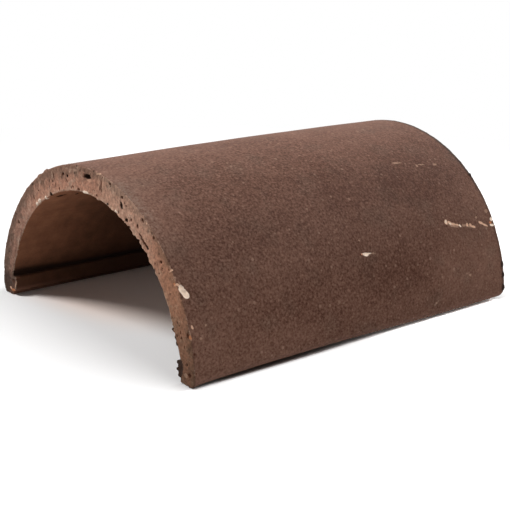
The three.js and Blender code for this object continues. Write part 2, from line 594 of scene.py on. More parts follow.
class Clay(Enum):
    """What shows in a mark."""

    SAME = "the same as around it"
    CREAM = "bare pale clay"
    ROSE = "scraped clay"
    FAINT = "a rub that shows only faintly"
    ORANGE = "bare orange clay"
    # a plain dark colour on crumbs, lumps and the far rim
    BURNT = "burnt clay"
    # SHADE and PIT are painted shade inside holes and pits
    SHADE = "the dark of a hole"
    PIT = "the warm dark of a small hole"


@dataclass(frozen=True)
class Mark:
    """A hollow, a lump or a bare patch, oval, on one face of the tile. Lengths in millimetres.

    A mark on an end is placed by its Y and Z. One on the skin or in the bore is placed by its distance
    from the near end and its angle round the vault in degrees, 0 at the +Y side and 90 at the crown.
    """

    side: Side
    place: Pair
    size: Pair  # half its length and half its width
    depth: float = 0.0  # below zero for a lump
    turn: float = 0.0  # degrees in the face
    steep: float = 2.0  # 1 for a bowl, more for steep sides and a flat floor
    slide: Pair = (0.0, 0.0)  # what the clay moves sideways
    clay: Clay = Clay.SAME
    through: float = 5.0  # how far into the wall it is felt
    lean: Pair = (0.0, 0.0)  # share by which it is deeper towards the ends of its length and width

    @property
    def shaped(self) -> bool:
        """Whether it is more than a patch of colour."""
        return self.depth != 0.0 or self.slide != (0.0, 0.0)

    def axes(self, die: Die) -> tuple[np.ndarray, np.ndarray]:
        """Where the mark is and how it lies.

        Args:
            die: the section and the length.

        Returns:
            The middle, and three rows: the face's two directions and the way out of the clay.
        """
        if self.side in (Side.NEAR_END, Side.FAR_END):
            out = -1.0 if self.side is Side.NEAR_END else 1.0
            middle = np.array([out * die.half, self.place[0] * MM, self.place[1] * MM])
            directions = np.array([[0.0, 1.0, 0.0], [0.0, 0.0, 1.0], [out, 0.0, 0.0]])
        else:
            skin = self.side is Side.SKIN
            angle = math.radians(self.place[1])
            radius = die.outer_radius if skin else die.inner_radius
            centre = die.outer_centre if skin else die.inner_centre
            radial = np.array([0.0, math.cos(angle), math.sin(angle)])
            middle = np.array([self.place[0] * MM - die.half, 0.0, centre]) + radius * radial
            around = np.array([0.0, -math.sin(angle), math.cos(angle)])
            directions = np.array([[1.0, 0.0, 0.0], around, radial if skin else -radial])
        c, s = math.cos(math.radians(self.turn)), math.sin(math.radians(self.turn))
        turn = np.array([[c, s, 0.0], [-s, c, 0.0], [0.0, 0.0, 1.0]])
        return middle, turn @ directions

    def moved(self, places: np.ndarray, die: Die) -> np.ndarray:
        """How far the clay moves at each place: fully in the mark's middle, not at all beyond its rim.

        Args:
            places: rows of X, Y and Z.
            die: the section and the length.

        Returns:
            Rows of X, Y and Z.
        """
        middle, axes = self.axes(die)
        local = (places - middle) @ axes.T / (np.array([*self.size, self.through]) * MM)
        share = np.clip((1.0 - np.linalg.norm(local, axis=1)) * self.steep, 0.0, 1.0)
        share = share * share * (3.0 - 2.0 * share)  # a soft step
        depth = self.depth * (1.0 + np.clip(local[:, :2], -1.0, 1.0) @ np.array(self.lean))
        slide = np.broadcast_to(self.slide, (len(places), 2))
        return share[:, None] * (np.column_stack([slide, -depth]) * MM @ axes)

    def shown(self, g: Graph, place: Sock, die: Die) -> Sock:
        """Draws the mark in a material.

        Args:
            g: the material's tree.
            place: where on the tile, before it dried out of true.
            die: the section and the length.

        Returns:
            How far inside its rim each place lies, in millimetres. Outside it is below zero, and at
            twice the mark's size and beyond it stays the same.
        """
        middle, axes = self.axes(die)
        axes[2] *= np.linalg.det(axes)  # a turn can't mirror, and a mark is alike both ways through
        local = g.node("ShaderNodeMapping", {"vector_type": "TEXTURE"}, {
            "Vector": place, "Location": tuple(middle), "Rotation": Matrix(axes.T.tolist()).to_euler(),
            "Scale": tuple(2.0 * length * MM for length in (*self.size, self.through)),
        })
        ball = g.node("ShaderNodeTexGradient", {"gradient_type": "SPHERICAL"}, {"Vector": local}, "Fac")
        width = min(self.size)
        return ball.math("MULTIPLY_ADD", 2.0 * width, -width)


def listed(side: Side, columns: str, rows: list[tuple], **common: object) -> list[Mark]:
    """Reads marks of one kind from a list.

    Args:
        side: the face they lie on.
        columns: what a row goes on with after the mark's place and half sizes. It may stop short.
        rows: one row to a mark.
        common: what the marks have in common.

    Returns:
        The marks.
    """
    names = columns.split()
    return [Mark(side, place, size, **dict(zip(names, rest)), **common) for place, size, *rest in rows]


def outwards(place: Pair, far: float) -> Pair:
    """A slide of that many millimetres, away from the middle of the ground line."""
    reach = math.hypot(*place)
    return (far * place[0] / reach, far * place[1] / reach)


def near_end_marks() -> list[Mark]:
    """Lists what the near end shows: holes and specks, crumbs, bared clay, burrs and a torn rib.

    Returns:
        The marks.
    """
    end = Side.NEAR_END
    same, cream, rose, faint, orange, darkened, shade, pit = Clay
    holes = [
        Mark(end, (-0.3, 115.1), (5.2, 1.9), 3.6, turn=-5, steep=3, clay=shade, through=7),
        Mark(end, (-67.2, 85.3), (7.6, 1.3), 1.6, turn=39, clay=pit),
        Mark(end, (-71.2, 82.1), (2.2, 1.5), 1.8, turn=39, clay=shade),
        Mark(end, (48.4, 92.7), (1.9, 1.7), 1.4, clay=shade, through=3),
        Mark(end, (-42.2, 103.8), (2.9, 1.7), 1.4, turn=71, clay=shade, through=3),
        Mark(end, (-48, 95.1), (1.8, 1.5), 1.8, steep=2.5, clay=shade, through=3),
    ]
    pits = listed(end, "depth turn", [
        ((-28.8, 115.8), (1.5, 1.3), 1.8), ((-42.7, 109.3), (1.5, 1.2), 1.6, 20),
        ((-53.5, 96.5), (1.2, 1.1), 1.0), ((-45.9, 106.4), (1.1, 0.9), 0.6),
        ((-60.3, 93.5), (1.6, 1.1), 1.6, 80), ((-66.2, 98.8), (2.0, 1.3), 1.4, 60),
        ((-78.7, 90.2), (1.6, 1.3), 0.9), ((-87, 76), (1.4, 1.2), 1.4),
        ((-116.4, 34.5), (2.0, 1.3), 0.9, 80), ((-118.5, 7.9), (1.7, 1.5), 1.4),
        ((107.3, 11.6), (1.9, 1.3), 1.2, 70),
    ], steep=2.5, clay=pit, through=3)
    specks = listed(end, "turn", [
        ((-18, 112), (6.0, 0.9), 92), ((-16.2, 110.5), (2.2, 0.9), 85), ((-19.7, 118.4), (1.1, 0.8)),
        ((-47.7, 104.7), (1.4, 0.7), -15), ((-12.4, 104.6), (1.4, 1.0), 20), ((72.4, 85.7), (2.1, 0.8), 90),
        ((43.9, 107.6), (2.2, 0.8), 95), ((41.1, 101), (1.8, 0.8), 85), ((32, 110.5), (1.6, 0.7), 90),
        ((26.1, 107.3), (1.8, 0.8), 60), ((36.5, 99.2), (1.4, 0.9), 75), ((10.5, 104.3), (2.0, 1.1)),
        ((18, 104.6), (1.4, 0.8), 10), ((-80.8, 73.7), (1.0, 0.8)), ((-95.9, 73.1), (0.9, 0.8)),
        ((-85.4, 68), (0.9, 0.8)), ((-108.2, 34.4), (1.5, 0.9), 80), ((-109.7, 31), (1.4, 0.8), 80),
        ((-112.9, 25.9), (1.3, 0.8), 70), ((66, 92), (1.1, 0.8)), ((109, 44), (1.0, 1.1)),
    ], clay=pit, through=2)
    crumbs = listed(end, "turn", [
        ((67.8, 81.6), (1.9, 1.4), -38), ((64.2, 84.6), (2.5, 1.6), -34), ((55.2, 89), (1.6, 1.3), -20),
        ((1.8, 103.2), (4.2, 1.8), -4), ((-36.2, 98.8), (2.0, 0.8), 20),
    ], depth=-1.1, steep=1.4, clay=cream)
    bare = listed(end, "clay turn", [
        ((-15.4, 120), (2.9, 0.6), rose, -10), ((-20, 112.6), (5.4, 0.8), faint, 92),
        ((-14.8, 113), (4.6, 0.8), faint, 88), ((66.2, 82.8), (5.2, 2.2), faint, -36),
        ((104.5, 9), (4.0, 0.7), rose, -72), ((-71.2, 98), (0.9, 0.8), rose),
        ((108, 3.9), (3.8, 1.5), orange, -8), ((111.8, 4.9), (1.6, 1.2), rose, 20),
        ((98.7, 42.6), (6.2, 1.0), faint, 105), ((-114.9, 6.8), (2.2, 1.8), faint),
        ((-2.4, 113), (3.4, 0.9), faint, -5), ((-102.1, 64.9), (1.7, 1.2), orange),
        ((-102.8, 68.5), (1.2, 1.0), faint),
    ], through=1.6)
    burrs = [
        Mark(end, place, size, -0.3, slide=(out, -0.2), steep=2.5, clay=darkened)
        for place, size, out in [
            ((-100.8, 33.4), (1.8, 2.4), 1.3), ((-103.2, 29.4), (1.5, 1.7), 0.9),
            ((-105.4, 25.8), (1.4, 1.6), 0.9), ((-95.6, 44.4), (1.2, 1.5), 0.5),
            ((-97.6, 40.4), (1.4, 1.7), 0.8), ((-99.4, 37), (1.2, 1.2), 0.6),
        ]
    ]
    nibbled = [  # along the edge of the bore
        Mark(end, place, size, slide=outwards(place, far), steep=2.5, clay=clay, through=3)
        for place, size, far, clay in [
            ((-21.7, 103.2), (1.5, 1.2), -0.7, faint), ((-26, 101.3), (1.6, 1.1), 0.9, shade),
            ((-31.4, 99.7), (1.7, 1.3), -0.8, rose), ((-39, 97.5), (1.6, 1.2), -0.8, faint),
            ((-50.4, 90.7), (2.0, 1.2), 1.0, shade), ((-56, 87.6), (1.9, 1.3), -0.9, faint),
            ((-61.8, 84.2), (1.6, 1.1), 0.8, shade), ((-65.6, 80.4), (1.9, 1.2), -0.9, faint),
            ((-71.5, 77.6), (2.2, 1.2), 0.9, same), ((-75.4, 73.8), (1.9, 1.3), -0.9, faint),
            ((-81.4, 66.6), (1.8, 1.3), -0.7, same), ((-87.6, 58), (1.8, 1.3), 0.8, same),
            ((82.2, 68.4), (1.8, 1.3), 0.7, same), ((91.6, 55), (1.8, 1.3), -0.6, same),
        ]
    ]
    rib_end = [
        Mark(end, (-104.6, 9.6), (7, 9), 0.4, slide=(-2.2, 0), through=7),
        Mark(end, (-105.9, 9.8), (6.2, 7.6), clay=darkened),
        Mark(end, (-104.2, 13.2), (1.8, 1.6), -0.6, slide=(0.9, 0.4)),
        Mark(end, (-104, 8.4), (1.8, 1.5), -0.6, slide=(1.2, 0)),
        Mark(end, (-105.4, 4.6), (1.6, 1.6), -0.4, slide=(0.5, 0.3)),
    ]
    foot_corner = [
        Mark(end, (124.4, 0), (5.5, 9.5), slide=(-2.4, 0), steep=1.2, through=14),
        Mark(end, (124.6, 13), (5, 13), slide=(-1.1, 0), through=14),
    ]
    return holes + pits + specks + crumbs + bare + burrs + nibbled + rib_end + foot_corner


def skin_marks() -> list[Mark]:
    """Lists what the skin shows: chips and a pock, rubs, a scrape, and lumps at both ends.

    Returns:
        The marks.
    """
    skin = Side.SKIN
    _, cream, rose, faint, orange, darkened, _, pit = Clay
    chips = listed(skin, "turn lean", [
        ((2.7, 148.3), (3.5, 2.2), 88, (-1.2, 0.5)), ((4.3, 149.9), (3.3, 2.5), 64, (-1.2, 0.5)),
    ], depth=0.8, steep=4, clay=cream)
    pock = listed(skin, "turn lean", [
        ((164.4, 150.95), (4.9, 0.9), 7, (0, -1.6)), ((163.9, 151.25), (3.6, 0.9), 8, (0, -1.6)),
    ], depth=0.5, steep=3, clay=cream)
    rim = listed(skin, "clay through depth turn", [
        ((0.2, 162.4), (1.4, 0.7), orange, 2, 0.3, 80), ((0.5, 161.8), (5.0, 0.5), faint, 2, 0, 92),
        ((1.4, 167.6), (1.0, 1.0), pit, 1.4, 0.6), ((1.2, 173.5), (0.8, 0.7), pit, 1.4),
    ])
    rubs = listed(skin, "clay turn", [
        ((3.5, 149.1), (3.2, 2.3), cream, 76), ((0.9, 146.7), (1.7, 1.0), rose, 56),
        ((0.6, 144.4), (1.5, 0.8), faint, 78), ((2.2, 146.2), (1.3, 0.8), faint, 60),
        ((0.4, 142), (0.9, 0.8), rose), ((2.8, 159.7), (1.5, 1.0), rose, 70),
        ((8, 163.5), (1.0, 1.0), faint), ((13.5, 160), (1.2, 1.0), faint),
        ((163.6, 151.5), (2.2, 0.9), cream, 8), ((171, 151.4), (2.4, 0.8), faint, 16),
        ((160.2, 150.8), (1.0, 0.8), orange), ((158.4, 150.8), (0.9, 0.8), pit),
        ((161.8, 146.2), (0.9, 0.8), faint), ((239.6, 120), (5.4, 1.2), faint, 4),
        ((256.8, 123.1), (1.8, 1.0), faint, 90), ((262.2, 122.8), (3.6, 0.9), faint, 10),
        ((275.6, 123.8), (2.0, 1.4), faint), ((266, 166.8), (1.3, 1.1), faint),
        ((262.6, 166.1), (1.0, 0.8), faint), ((227, 173.2), (1.1, 1.0), faint),
    ])
    scrape = listed(skin, "clay turn", [
        ((253.6, 146.7), (1.6, 1.0), cream, 99), ((253.5, 146.8), (2.2, 1.8), rose, 99),
        ((257, 147.4), (2.5, 1.4), rose, 40), ((257.6, 147.7), (2.0, 0.7), cream, 24),
        ((260.8, 148.1), (3.0, 1.0), rose, 16), ((264.6, 148.7), (2.4, 0.9), rose, 20),
        ((267.1, 149.2), (1.5, 1.0), cream, 60), ((271.2, 149.4), (2.6, 1.0), faint, 10),
        ((275.1, 149.4), (1.6, 1.2), rose, 90), ((278.8, 149.8), (1.7, 1.1), rose, 60),
        ((281.3, 150.6), (2.4, 1.1), rose, 20), ((290.6, 149.9), (3.2, 1.2), rose, 32),
        ((294.5, 151), (3.4, 1.0), rose, 29), ((287.4, 147.6), (1.4, 1.1), faint),
        ((303.4, 149.5), (1.9, 1.7), cream), ((301.2, 150.6), (1.5, 1.2), orange),
        ((302.2, 151.6), (2.8, 1.1), cream, 9), ((301, 146.2), (2.0, 1.6), faint),
        ((260, 148.6), (6.0, 1.4), faint, 18), ((277, 150), (6.0, 1.4), faint, 16),
    ], depth=0.4)
    near_lumps = listed(skin, "depth", [
        ((0.6, 63.5), (4, 3), -0.9), ((0.6, 58.7), (4, 3), -0.8), ((0.6, 122.5), (4, 3), -0.7),
    ], steep=1.6)
    far_lumps = listed(skin, "depth", [
        ((304, 131), (1.7, 2.0), -1.1), ((304, 166.2), (1.7, 3.4), -1.0),
        ((304, 170), (1.7, 3.0), -0.7), ((304, 174.6), (1.7, 3.4), -0.8),
    ], clay=darkened)
    return chips + pock + rim + rubs + scrape + near_lumps + far_lumps


def hidden_marks() -> list[Mark]:
    """Lists two holes just inside the bore, and the holes and the chip of the far end.

    Returns:
        The marks.
    """
    bore, far = Side.BORE, Side.FAR_END
    inside = listed(bore, "depth", [
        ((12.6, 60), (4.6, 2.5), 1.8), ((27, 59), (2.2, 1.6), 1.5),
    ], clay=Clay.SHADE)
    holes = listed(far, "depth turn steep", [
        ((60, 98), (5.0, 3.0), 3.0, -30, 2.5), ((-30, 112), (2.2, 3.4), 3.0),
        ((-96, 62), (2.6, 4.0), 3.2, -20), ((16, 117), (2.0, 2.0), 2.2), ((105, 52), (2.4, 2.0), 2.4),
    ], clay=Clay.SHADE)
    return inside + holes + [Mark(far, (88, 64), (5.5, 2.4), 1.2, turn=-55, clay=Clay.CREAM)]


# ---------------------------------------------------------------------------------------------
# Finish
# ---------------------------------------------------------------------------------------------

BURNT: Colour = srgb(44, 30, 25)
# the colour of painted shade in holes, pits and slits
HOLLOW: Colour = srgb(39, 22, 15)
FRESH: Colour = srgb(189, 140, 117)
PALE: Colour = srgb(210, 176, 153)
ROSE: Colour = srgb(238, 196, 166)


@dataclass(frozen=True)
class Surface:
    """What the finish reads at each point of the clay."""

    g: Graph
    place: Sock  # where on the tile, before it dried out of true
    axes: list[Sock]  # the place's X, Y and Z
    wall: Sock  # how far through the wall, 0 at the skin and 1 at the bore
    fine: Sock  # the grain
    blotch: Sock  # the wider mottling
    ragged: Sock  # what makes borders uneven

    def within(self, *zones: Zone) -> Sock:
        """How strongly some zones are felt together."""
        return sum(zone.felt(*self.axes) for zone in zones)


@dataclass(frozen=True)
class Cloud:
    """A broad soft patch of the skin, oval as seen from the side. Lengths in millimetres."""

    middle: Pair  # along the tile and up
    reach: Pair  # half its length and half its height
    lift: float  # how much lighter the skin is there

    def felt(self, x: Sock, z: Sock) -> Sock:
        """Draws it.

        Args:
            x: each place's distance along the tile.
            z: its height.

        Returns:
            What it adds to the tone of the skin there.
        """
        along = (x - self.middle[0] * MM) / (self.reach[0] * MM)
        up = (z - self.middle[1] * MM) / (self.reach[1] * MM)
        return (along * along + up * up).step(1.0, 0.0) * self.lift


@dataclass(frozen=True)
class Skin:
    """The outer face: mottled grain by grain, paler along the ridge from wear and a painted sheen, with pale
    grains here and there.
    """

    dark: Colour = srgb(72, 40, 26)
    light: Colour = srgb(138, 102, 86)
    worn_sheen_dark: Colour = srgb(86, 59, 48)
    worn_sheen_light: Colour = srgb(145, 109, 94)
    dust_and_shade: Colour = srgb(131, 110, 97)
    grain: Colour = srgb(163, 129, 110)
    stain: Triple = (0.88, 0.98, 1.0)  # what stains leave of its red, green and blue
    tone: float = 0.33  # from its dark to its light colour
    contrast: float = 2.1  # of its grains
    calmer: Zone = Zone(0.6, x=(-80, 150))  # how much less that is towards the far end
    mottling: Triple = (0.4, 0.3, 0.3)  # how much crumbs, blotches and broad patches change the tone
    crumb_size: float = 2.7  # millimetres
    grain_size: float = 4.6  # millimetres, from one pale grain to the next
    largest_grain: float = 0.34  # its radius, as a share of that
    grained: float = 0.6  # how clearly the pale grains show
    ridge: Pair = (90.0, 124.0)  # heights over which it takes its ridge colours, partly wear and partly a painted sheen
    ridge_slant: float = 0.25  # how much lower it does so for each length towards the +Y side
    ridge_drop: Zone = Zone(16.0 * MM, x=(-50, -140))  # how much lower at the near end
    ridge_stray: float = 22.0 * MM
    worn: float = 0.75  # how strongly it takes them: partly wear, partly a painted sheen
    dusty_and_shaded: Zone = Zone(x=(-140, -150), y=(-88, -68, -40, -14))  # dust beside the near cut
    dusted: float = 0.7  # how thick the dust is there
    stained: float = 0.6  # how strong the stains are
    # darker along the far edge
    darkened_rim: tuple[Zone, ...] = (Zone(0.4, x=(148.6, 151.4)), Zone(0.45, x=(148.6, 151.4), z=(75, 92)))
    lighter: tuple[Zone, ...] = (
        Zone(0.04, x=(-60, -150)), Zone(0.14, x=(-60, -150), z=(85, 25)),  # towards the near end
        Zone(0.06, x=(40, 140), z=(85, 25)), Zone(0.16, x=(108, 150), z=(95, 70)),  # and the far one
        Zone(0.05, z=(60, 15)), Zone(0.4, z=(8, 1)),  # down the feet
        Zone(0.25, x=(-105, -150), y=(0, -20), z=(70, 100)),  # and on the near shoulder
    )
    clouded: Zone = Zone(y=(0, -40))  # the side that has the clouds
    clouds: tuple[Cloud, ...] = (
        Cloud((92, 95), (52, 20), -0.18), Cloud((20, 97), (34, 18), -0.11),
        Cloud((114, 30), (45, 34), 0.16), Cloud((32, 40), (44, 24), -0.16),
        Cloud((-78, 12), (54, 18), 0.16), Cloud((-68, 58), (40, 22), 0.09),
        Cloud((-110, 86), (40, 20), -0.09),
    )

    def colour(self, at: Surface) -> Sock:
        """Colours it.

        Args:
            at: what the finish reads.

        Returns:
            The colour.
        """
        g, (_, y, z) = at.g, at.axes
        tone = self._tone(at)
        colour = g.mix(tone, self.dark, self.light)
        # the paler ridge: partly wear, partly a painted sheen
        level = z + y * self.ridge_slant + at.within(self.ridge_drop) + at.blotch * self.ridge_stray
        ridge = level.fade(*self.ridge)
        colour = g.mix(ridge * self.worn, colour, g.mix(tone, self.worn_sheen_dark, self.worn_sheen_light))
        dusty_and_shaded = (at.within(self.dusty_and_shaded) * (0.4 + at.fine * 5.0)).share()
        colour = g.mix(dusty_and_shaded * self.dusted, colour, self.dust_and_shade)
        distance, (red, green, _) = g.cells(at.place, self.grain_size)
        grains = (distance - red * self.largest_grain).step(0.0, -0.12) * green * green
        colour = g.mix(grains * self.grained, colour, self.grain)
        stains = g.noise(at.place, 24.0, seed=18).step(0.0, 0.2)
        colour = g.tint(stains * self.stained, colour, self.stain)
        return g.mix(at.within(*self.darkened_rim), colour, BURNT)

    def _tone(self, at: Surface) -> Sock:
        """Works out how light each place is, from grain to cloud.

        Args:
            at: what the finish reads.

        Returns:
            Its tone, from 0 for the dark colour to 1 for the light one.
        """
        g, (x, _, z) = at.g, at.axes
        grains = at.fine * (self.contrast - at.within(self.calmer))
        distance, (_, _, blue) = g.cells(at.place, self.crumb_size)
        crumbs = distance.step(0.5, 0.1) * blue
        broad = g.noise(at.place, 55.0, seed=4, detail=1.0)
        clouds = at.within(self.clouded) * sum(cloud.felt(x, z) for cloud in self.clouds)
        mottling = sum(part * much for part, much in zip((crumbs, at.blotch, broad), self.mottling))
        return (self.tone + grains + mottling + at.within(*self.lighter) + clouds).share()


@dataclass(frozen=True)
class Bore:
    """The inner face, drawn out in faint lines along the tile, with painted shade deeper inside, down at the
    rib and in the groove.
    """

    clay: Colour = srgb(157, 104, 76)
    # painted shade: the colour it darkens to deeper inside and down at the rib
    painted_shade: Colour = srgb(35, 20, 13)
    # painted shade in the groove
    pitch: Colour = srgb(16, 8, 5)
    drawn: Triple = (40.0, 1.0, 1.0)  # how far its lines are drawn out along each axis
    uneven: Triple = (0.2, 0.5, 0.5)  # how much its lines, its grain and its blotches lighten it
    dark: Pair = (165.0, 60.0)  # millimetres from the middle of the length, over which painted shade darkens it
    dark_stray: float = 50.0 * MM
    shade: float = 0.66  # how much darker it gets
    dark_rib: Zone = Zone(0.66, z=(36, 15))  # and how much painted shade darkens it down at the rib
    pale_foot: Zone = Zone(0.3, x=(-85, -150), z=(8, 5))
    groove: tuple[Pair, Pair] = ((14.6, 15.6), (20.5, 15.5))  # heights of the lower and upper edge of the painted shade in the groove
    groove_lift: Zone = Zone(3.5 * MM, x=(-85, -150))  # how much higher the upper one is at the mouth
    groove_darkness: float = 0.88  # how dark the painted shade in the groove is

    def colour(self, at: Surface) -> Sock:
        """Colours it.

        Args:
            at: what the finish reads.

        Returns:
            The colour.
        """
        g, (x, _, z) = at.g, at.axes
        lines = g.noise(g.drawn_out(at.place, self.drawn), 3.0, seed=5)
        uneven = sum(part * much for part, much in zip((lines, at.fine, at.blotch), self.uneven))
        colour = g.scaled(self.clay[:3], 1.0 + uneven)
        # painted shade, deeper inside the vault and down at the rib
        inwards = (x.unsigned() + at.blotch * self.dark_stray).fade(*self.dark)
        unshaded = (1.0 - inwards * self.shade) * (1.0 - at.within(self.dark_rib))
        colour = g.mix(1.0 - unshaded, colour, self.painted_shade)
        colour = g.mix(at.within(self.pale_foot), colour, FRESH)
        # painted shade in the groove over the rib
        lower, upper = self.groove
        groove = z.fade(*lower) * (z - at.within(self.groove_lift)).fade(*upper)
        return g.mix(groove * self.groove_darkness, colour, self.pitch)


@dataclass(frozen=True)
class Cut:
    """A cut face: torn upright by the wire, redder towards the bore, with dark specks and slits that are
    painted shade of its small holes.
    """

    outer: Colour = srgb(145, 111, 93)
    redder: float = 1.6  # how much redder it is at the bore than at the skin
    redder_side: float = 5.0  # and for each metre towards the -Y side
    patchy: Pair = (2.0, 0.5)  # how much patches and tears change that
    crusted: float = 0.6  # how thick the pale crust is
    smoked: Triple = (0.95, 0.89, 0.76)  # what smoke leaves of its red, green and blue on the -Y side
    sooted: Triple = (0.8, 0.83, 0.87)  # and soot on the +Y side
    smoky: Zone = Zone(0.8, y=(-60, -104))
    sooty: Zone = Zone(y=(60, 96))
    pale: Zone = Zone(0.3, y=(-86, -60, -28, -8))
    dark_foot: Zone = Zone(0.55, y=(98, 106), z=(24, 12))
    cool_foot: Zone = Zone(0.3, z=(60, 10))  # how much less red it is towards the feet
    shaded: tuple[Zone, ...] = (Zone(0.36, z=(88, 0)), Zone(0.2, y=(0, -80), z=(88, 0)))  # and darker
    uneven: Pair = (0.6, 1.5)  # how much its tears and its grain lighten it
    upright: Triple = (1.0, 1.0, 2.2)  # how far its tears are drawn out along each axis
    slit_dark: float = 0.35
    speck_dark: float = 0.75
    speck_size: float = 4.2  # millimetres, from one speck to the next
    speck_drawn: Triple = (1.0, 1.0, 1.5)

    def colour(self, at: Surface) -> tuple[Sock, Sock]:
        """Colours it.

        Args:
            at: what the finish reads.

        Returns:
            The colour, and the height of the tears.
        """
        g, place, wall, y = at.g, at.place, at.wall, at.axes[1]
        torn = g.drawn_out(place, self.upright)
        drag = g.noise(torn, 2.1, seed=6, detail=3.0, roughness=0.6)
        patch = g.noise(place, 7.0, seed=7, detail=3.0, roughness=0.6)
        warm = wall * self.redder + patch * self.patchy[0] + drag * self.patchy[1]
        warm = warm - y.least(0.0) * self.redder_side - at.within(self.cool_foot)
        colour = g.mix(warm.step(0.3, 1.05), self.outer, FRESH)
        crust = (g.noise(place, 5.0, seed=16, detail=3.0, roughness=0.65) + wall * 0.14).step(0.06, 0.26)
        rim = (wall + at.fine * 0.2).step(0.9, 0.95)
        rim = rim * g.noise(place, 9.0, seed=17, detail=1.0).step(-0.1, 0.05)
        colour = g.mix(crust.most(rim) * self.crusted, colour, PALE)
        colour = g.mix(at.within(self.pale), colour, PALE)
        colour = g.tint(at.within(self.smoky), colour, self.smoked)
        colour = g.tint(at.within(self.sooty), colour, self.sooted)
        colour = g.mix(at.within(self.dark_foot), colour, HOLLOW)
        lit = 1.0 - at.within(*self.shaded)
        uneven = drag * self.uneven[0] + at.fine * self.uneven[1]
        colour = g.scaled(colour, (1.0 + uneven) * lit)
        # painted shade in the slits and small holes of the torn face
        slits = g.noise(torn, 2.0, seed=8, roughness=0.6).step(0.12, 0.2)
        distance, (_, green, _) = g.cells(g.drawn_out(place, self.speck_drawn), self.speck_size)
        specks = (distance + at.fine * 0.3).step(0.22, 0.13) * green.step(0.6, 0.7)
        dark = (slits * self.slit_dark).most(specks * self.speck_dark)
        return g.mix(dark, colour, HOLLOW), drag - dark


@dataclass(frozen=True)
class Bared:
    """How the clay in one kind of mark shows."""

    clay: Clay
    colour: Colour
    uneven: float  # how far its rim strays, in millimetres
    strength: float
    flecks: float | None = None  # how light it is between its flecks; none where it is one plain colour
    contrast: float = 0.5  # of the flecks
    rim: float = 0.3  # how softly it sets in, in millimetres

    def over(self, at: Surface, under: Sock, inside: Sock) -> Sock:
        """Lays it over the colour under it.

        Args:
            at: what the finish reads.
            under: the colour under it.
            inside: how far inside the marks of this kind each place lies, in millimetres.

        Returns:
            The colour of both.
        """
        colour: Colour | Sock = self.colour
        if self.flecks is not None:
            colour = at.g.scaled(self.colour[:3], at.fine * self.contrast + self.flecks)
        shown = (inside + at.ragged * self.uneven).step(0.0, self.rim) * self.strength
        return at.g.mix(shown, under, colour)


@dataclass(frozen=True)
class FiredClay:
    """Unglazed brown clay: a grainy skin, redder and rougher where it was cut, pale where it is chipped."""

    skin: Skin = Skin()
    bore: Bore = Bore()
    cut: Cut = Cut()
    bared: tuple[Bared, ...] = (
        Bared(Clay.BURNT, BURNT, 2.0, 0.9),
        # painted shade in pits and holes
        Bared(Clay.PIT, srgb(84, 46, 30), 0.8, 0.9),
        Bared(Clay.SHADE, HOLLOW, 0.7, 0.95),
        Bared(Clay.FAINT, ROSE, 2.2, 0.3, 0.92),
        Bared(Clay.ORANGE, srgb(214, 142, 100), 1.2, 0.9, 0.9),
        Bared(Clay.ROSE, ROSE, 1.0, 0.9, 0.92),
        Bared(Clay.CREAM, srgb(255, 235, 216), 0.8, 1.0, 0.94),
    )
    worn_arris: Zone = Zone(0.45, x=(-140, -150))  # the edges of the near cut, pale here and there
    bump_height: float = 0.5 * MM
    bump_strength: float = 0.9
    tear_height: float = 1.3  # of a cut's tears, in times the grain's
    gloss: float = 0.12
    roughness: float = 0.72
    cut_roughness: float = 0.12  # how much rougher the cuts are
    grain_roughness: float = 0.3  # and how much the grain changes it
    flatness: float = 0.8  # how evenly it scatters light

    def material(self, marks: list[Mark], die: Die) -> bpy.types.Material:
        """Builds the finish.

        Args:
            marks: the marks that it shows.
            die: the section and the length that they are placed on.

        Returns:
            The material.
        """
        material = bpy.data.materials.new("fired_clay_finish")
        g = Graph.of(material)
        place = g.node("ShaderNodeAttribute", {"attribute_name": "unmarked"}, None, "Vector")
        cut, wall, hollow, edge = (
            g.node("ShaderNodeAttribute", {"attribute_name": name}, None, "Fac")
            for name in ("cut", "wall", "hollow", "edge")
        )
        at = Surface(
            g, place, g.parts(place), wall,
            fine=g.noise(place, 1.7, seed=1, roughness=0.7),
            blotch=g.noise(place, 9.0, seed=2),
            ragged=g.noise(place, 1.5, seed=3, detail=3.0, roughness=0.65),
        )
        cut_colour, tears = self.cut.colour(at)
        is_cut = (cut + at.ragged * 0.5).step(0.35, 0.6)
        is_bore = (wall + at.ragged * 0.1).step(0.45, 0.6)
        colour = g.mix(is_bore, self.skin.colour(at), self.bore.colour(at))
        colour = g.mix(is_cut, colour, cut_colour)
        here_and_there = g.noise(place, 6.0, seed=19, roughness=0.6).step(-0.02, 0.12)
        arris = (edge + at.ragged * 0.8).step(0.84, 1.0) * here_and_there * at.within(self.worn_arris)
        colour = g.mix(arris, colour, PALE)
        # painted shade in the small pits of the cut faces
        colour = g.mix((hollow + at.ragged * 0.5).step(0.2, 0.6), colour, HOLLOW)
        for bared in self.bared:
            inside, *others = (mark.shown(g, place, die) for mark in marks if mark.clay is bared.clay)
            for other in others:
                inside = inside.most(other)
            colour = bared.over(at, colour, inside)

        height = at.fine + tears * is_cut * self.tear_height
        bump = {"Strength": self.bump_strength, "Distance": self.bump_height, "Height": height}
        roughness = self.roughness + at.fine * self.grain_roughness + is_cut * self.cut_roughness
        shader = g.node("ShaderNodeBsdfPrincipled", None, {
            "Base Color": colour, "Roughness": roughness, "Normal": g.node("ShaderNodeBump", None, bump),
            "Specular IOR Level": self.gloss, "Diffuse Roughness": self.flatness,
        })
        g.add("ShaderNodeOutputMaterial", None, {"Surface": shader})
        return material


# ---------------------------------------------------------------------------------------------
# The tile
# ---------------------------------------------------------------------------------------------


